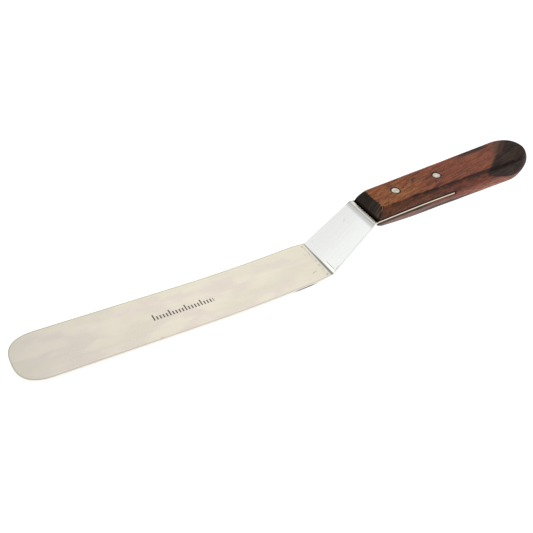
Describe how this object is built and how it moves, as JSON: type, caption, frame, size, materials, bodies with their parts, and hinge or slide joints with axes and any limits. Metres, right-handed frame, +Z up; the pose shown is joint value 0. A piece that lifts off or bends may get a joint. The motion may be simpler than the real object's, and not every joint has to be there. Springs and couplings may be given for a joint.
{
  "type": "offset spatula",
  "caption": "Offset baker's spatula: a long flexible steel blade with a rounded tip, cranked up to a slotted, pinned rosewood handle.",
  "frame": {"origin": "on the surface that the blade rests on, under the middle of the spatula's overall box", "axes": "+X from the blade's tip towards the handle's butt, +Y across the blade, +Z up from the blade's underside"},
  "size_m": [0.3292, 0.032, 0.0329],
  "materials": {
    "blade_steel": "satin stainless steel with a fine brushing along the blade and light wear",
    "rosewood": "oiled rosewood, reddish brown with near-black heartwood at the butt and a dark sawn front",
    "rivet_metal": "soft pale rivet metal, ground flush and slightly dulled"
  },
  "bodies": {
    "root": {"blade": "blade_steel", "handle": "rosewood", "front_rivet": "rivet_metal", "rear_rivet": "rivet_metal"}
  },
  "joints": []
}
